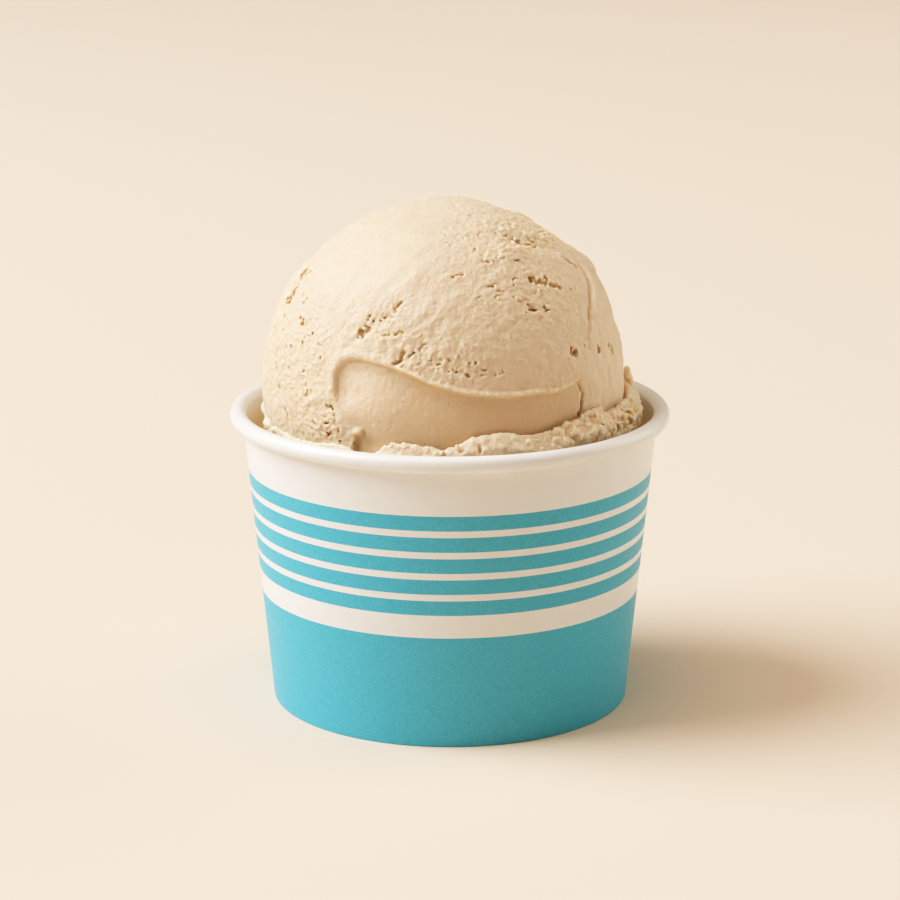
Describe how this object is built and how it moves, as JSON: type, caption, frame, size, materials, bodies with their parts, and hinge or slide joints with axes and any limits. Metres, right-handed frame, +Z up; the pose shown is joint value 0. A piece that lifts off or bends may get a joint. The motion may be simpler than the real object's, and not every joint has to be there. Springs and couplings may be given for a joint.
{
  "type": "gelato cup",
  "caption": "Ball of pale nut or coffee gelato pressed into a small tapered paper cup with a rolled rim and stripes.",
  "frame": {"origin": "centre of the cup's foot, on the surface that the cup stands on", "axes": "+Z up along the cup's axis; -Y is the front, where the spatula's smooth sweep shows; +X is to the right"},
  "size_m": [0.0734, 0.0734, 0.0845],
  "materials": {
    "printed_paper": "satin coated paper, white with a turquoise print of a broad band and narrow stripes",
    "white_paper": "plain white coated paper",
    "gelato": "frozen dairy gelato, beige, matt and slightly translucent, smooth where the spatula swept it and torn elsewhere"
  },
  "bodies": {
    "root": {"cup_sidewall": "printed_paper", "cup_base": "white_paper", "gelato": "gelato"}
  },
  "joints": []
}
